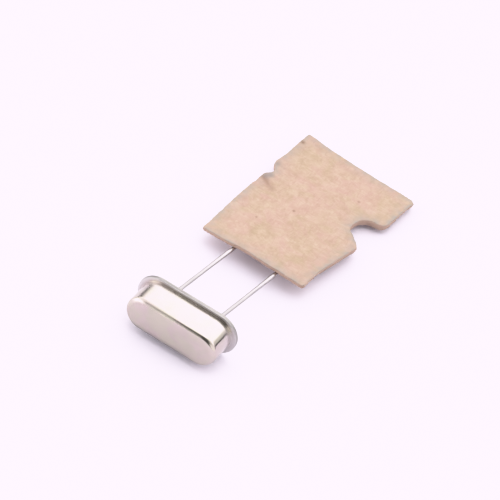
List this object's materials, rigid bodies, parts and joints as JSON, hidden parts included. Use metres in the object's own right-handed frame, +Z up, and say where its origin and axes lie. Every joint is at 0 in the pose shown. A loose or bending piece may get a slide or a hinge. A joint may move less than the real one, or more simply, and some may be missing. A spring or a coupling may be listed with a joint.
{
  "type": "quartz crystal resonator",
  "caption": "Low-profile two-lead quartz crystal in a welded obround metal can, its leads still held in a hand-cut piece of paper carrier tape.",
  "frame": {"origin": "middle of the seating face, the outside of the base between the two leads", "axes": "the crystal lies on one broad side: +X along the can's length, +Y the way the leads run, less the 4.4 degrees at which it comes to rest, +Z up, away from the surface it lies on"},
  "size_m": [0.0148, 0.0324, 0.0046],
  "materials": {
    "can_metal": "satin nickel plate on thin drawn sheet",
    "base_metal": "dull nickel plate on pressed steel",
    "seal_glass": "dark fused glass",
    "lead_metal": "tinned wire",
    "spring_metal": "bright nickel silver strip",
    "quartz": "finely lapped quartz",
    "silver_film": "evaporated silver",
    "cement": "silver-filled cement",
    "carrier_paper": "brown kraft board, fuzzy at its cut edges",
    "tape_paper": "crepe paper tape"
  },
  "bodies": {
    "root": {"can": "can_metal", "base_plate": "base_metal", "left_glass_seal": "seal_glass", "right_glass_seal": "seal_glass", "left_lead": "lead_metal", "right_lead": "lead_metal", "left_mount_spring": "spring_metal", "right_mount_spring": "spring_metal", "quartz_blank": "quartz", "upper_electrode": "silver_film", "lower_electrode": "silver_film", "left_cement": "cement", "right_cement": "cement", "carrier_strip": "carrier_paper", "hold_down_tape": "tape_paper"}
  },
  "joints": []
}
